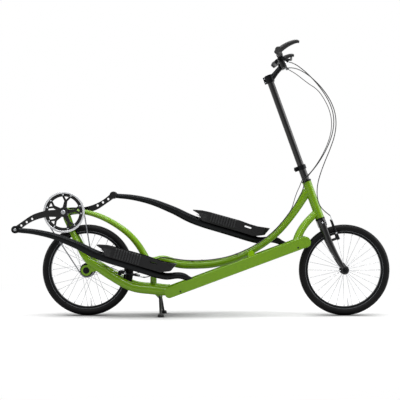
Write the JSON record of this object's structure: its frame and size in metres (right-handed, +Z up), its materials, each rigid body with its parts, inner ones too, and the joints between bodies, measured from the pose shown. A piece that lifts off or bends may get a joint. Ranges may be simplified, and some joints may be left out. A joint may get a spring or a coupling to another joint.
{
  "type": "elliptical bicycle",
  "caption": "Stand-up elliptical bicycle: gliding foot platforms on rolling arms drive a rear crank and chain; tall telescopic handlebar column, spoked wheels and centre stand.",
  "frame": {"origin": "on the ground, midway between the rearmost and foremost points, on the plane of symmetry of the frame", "axes": "+X forward, +Y to the rider's left, +Z up"},
  "size_m": [2.0043, 0.5792, 1.4371],
  "materials": {
    "green_paint": "glossy green paint on aluminium tube",
    "black_paint": "glossy black paint on aluminium",
    "black_anodised": "satin black anodised",
    "tyre_rubber": "matte black rubber",
    "roller_plastic": "hard urethane roller",
    "grip_rubber": "matte moulded rubber",
    "black_plastic": "moulded glass-filled nylon",
    "silver_alloy": "bright machined alloy",
    "bright_steel": "bright steel",
    "brake_alloy": "black forged alloy",
    "stand_steel": "black painted steel",
    "cable_sleeve": "black cable sleeve"
  },
  "bodies": {
    "frame": {"head_tube": "green_paint", "headset_cups": "black_anodised", "main_tube": "green_paint", "rear_arch_tube": "green_paint", "bottom_bracket_shell": "green_paint", "right_stay": "green_paint", "left_stay": "green_paint", "right_dropout": "green_paint", "left_dropout": "green_paint", "stay_bridge": "green_paint", "centre_post": "green_paint", "right_track": "green_paint", "left_track": "green_paint", "right_track_brace": "green_paint", "left_track_brace": "green_paint", "track_cross_tube": "green_paint", "stand_bracket": "green_paint", "rear_brake": "brake_alloy", "chain": "bright_steel", "rear_axle": "bright_steel", "frame_brake_cable": "cable_sleeve", "frame_gear_cable": "cable_sleeve"},
    "steering_fork": {"fork": "black_paint", "steering_tube": "black_paint", "front_axle": "bright_steel", "front_brake": "brake_alloy", "column_clamp": "black_anodised", "front_brake_cable": "cable_sleeve", "bar_brake_cable": "cable_sleeve", "bar_gear_cable": "cable_sleeve"},
    "column_top": {"upper_column": "black_anodised", "stem": "black_anodised", "handlebar": "black_anodised", "right_grip": "grip_rubber", "left_grip": "grip_rubber", "right_brake_lever": "brake_alloy", "left_brake_lever": "brake_alloy", "shifter": "black_plastic"},
    "front_wheel": {"front_tyre": "tyre_rubber", "front_rim": "black_anodised", "front_spokes": "bright_steel", "front_hub": "black_anodised"},
    "rear_wheel": {"rear_tyre": "tyre_rubber", "rear_rim": "black_anodised", "rear_spokes": "bright_steel", "rear_hub": "black_anodised", "rear_sprocket": "bright_steel"},
    "crankset": {"crank_spindle": "bright_steel", "chainring": "black_anodised", "chain_guard_ring": "silver_alloy", "crank_spider": "black_anodised", "right_crank_arm": "black_anodised", "left_crank_arm": "black_anodised"},
    "right_arm": {"right_drive_arm": "black_paint", "right_platform": "black_plastic"},
    "left_arm": {"left_drive_arm": "black_paint", "left_platform": "black_plastic"},
    "right_roller_pair": {"right_roller": "roller_plastic"},
    "left_roller_pair": {"left_roller": "roller_plastic"},
    "stand": {"centre_stand": "stand_steel"}
  },
  "joints": [
    {"name": "steering", "type": "hinge", "parent": "frame", "child": "steering_fork", "pos_m": [0.73239, 0, 0.2333], "axis": [-0.3404, 0, 0.9403], "range_deg": [-40, 40]},
    {"name": "column_height", "type": "slide", "parent": "steering_fork", "child": "column_top", "axis": [-0.3404, 0, 0.9403], "range_m": [-0.11, 0.08], "deforming": ["front_brake_cable", "bar_brake_cable", "bar_gear_cable"]},
    {"name": "front_wheel_spin", "type": "hinge", "parent": "steering_fork", "child": "front_wheel", "pos_m": [0.75919, 0, 0.243], "axis": [0, 1, 0], "continuous": true},
    {"name": "rear_wheel_spin", "type": "hinge", "parent": "frame", "child": "rear_wheel", "pos_m": [-0.61281, 0, 0.243], "axis": [0, 1, 0], "continuous": true},
    {"name": "crank_swing", "type": "hinge", "parent": "frame", "child": "crankset", "pos_m": [-0.73381, 0, 0.552], "axis": [0, -1, 0], "range_deg": [-30, 30]},
    {"name": "right_arm_pivot", "type": "hinge", "parent": "crankset", "child": "right_arm", "pos_m": [-0.98219, -0.1, 0.45963], "axis": [0, -1, 0], "range_deg": [-20.6, 20.6]},
    {"name": "left_arm_pivot", "type": "hinge", "parent": "crankset", "child": "left_arm", "pos_m": [-0.48543, 0.1, 0.64437], "axis": [0, -1, 0], "range_deg": [-40.4, 40.4]},
    {"name": "right_roller_spin", "type": "hinge", "parent": "right_arm", "child": "right_roller_pair", "pos_m": [-0.02234, -0.1, 0.17911], "axis": [0, 1, 0], "continuous": true},
    {"name": "left_roller_spin", "type": "hinge", "parent": "left_arm", "child": "left_roller_pair", "pos_m": [0.47442, 0.1, 0.36385], "axis": [0, 1, 0], "continuous": true},
    {"name": "stand_fold", "type": "hinge", "parent": "frame", "child": "stand", "pos_m": [-0.22481, 0, 0.101], "axis": [0, 1, 0], "range_deg": [0, 88]}
  ],
  "couplings": [
    {"joint": "right_arm_pivot", "follows": "crank_swing", "ratio": -0.66952},
    {"joint": "left_arm_pivot", "follows": "crank_swing", "ratio": -1.3305}
  ]
}
